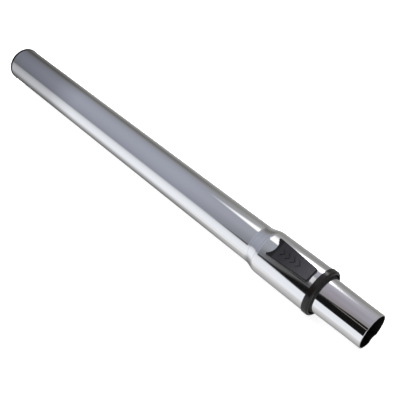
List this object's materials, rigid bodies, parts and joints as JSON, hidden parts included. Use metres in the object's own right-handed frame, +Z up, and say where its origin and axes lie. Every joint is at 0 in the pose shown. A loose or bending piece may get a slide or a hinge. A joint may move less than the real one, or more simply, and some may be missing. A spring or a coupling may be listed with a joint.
{
  "type": "telescopic vacuum wand",
  "caption": "Two chromed steel tubes that telescope, locked by a sliding thumb button, with a plastic hose socket at one end and a tapered tool spigot at the other.",
  "frame": {"origin": "on the surface the wand lies on, under the middle of its closed length", "axes": "+X along the wand towards the tool end, +Z up through the thumb button, +Y to the left looking along +X"},
  "size_m": [0.4704, 0.0414, 0.0422],
  "materials": {
    "chrome": "polished",
    "black_plastic": "satin moulded",
    "black_rubber": "smooth",
    "acetal": "moulded",
    "felt": "felt",
    "steel": "ground"
  },
  "bodies": {
    "outer": {"outer_tube": "chrome", "hose_socket": "black_plastic", "collar": "black_plastic", "wiper_seal": "black_rubber", "guide_sleeve": "acetal", "return_spring_left": "steel", "return_spring_right": "steel"},
    "inner": {"inner_tube": "chrome", "rear_guide_left": "acetal", "rear_guide_right": "acetal", "rear_seal": "felt"},
    "slide": {"button": "black_plastic", "cam_slide": "acetal"},
    "lock": {"lock_roller": "steel"}
  },
  "joints": [
    {"name": "telescope", "type": "slide", "parent": "outer", "child": "inner", "axis": [1, 0, 0], "range_m": [0, 0.3]},
    {"name": "button_slide", "type": "slide", "parent": "outer", "child": "slide", "axis": [1, 0, 0], "range_m": [0, 0.003], "stiffness_N_per_m": 900, "springref_m": -0.004, "deforming": ["return_spring_left", "return_spring_right"]},
    {"name": "lock_lift", "type": "slide", "parent": "outer", "child": "lock", "axis": [0, 0, 1], "range_m": [0, 0.00135]}
  ],
  "couplings": [
    {"joint": "lock_lift", "follows": "button_slide", "ratio": 0.45}
  ]
}
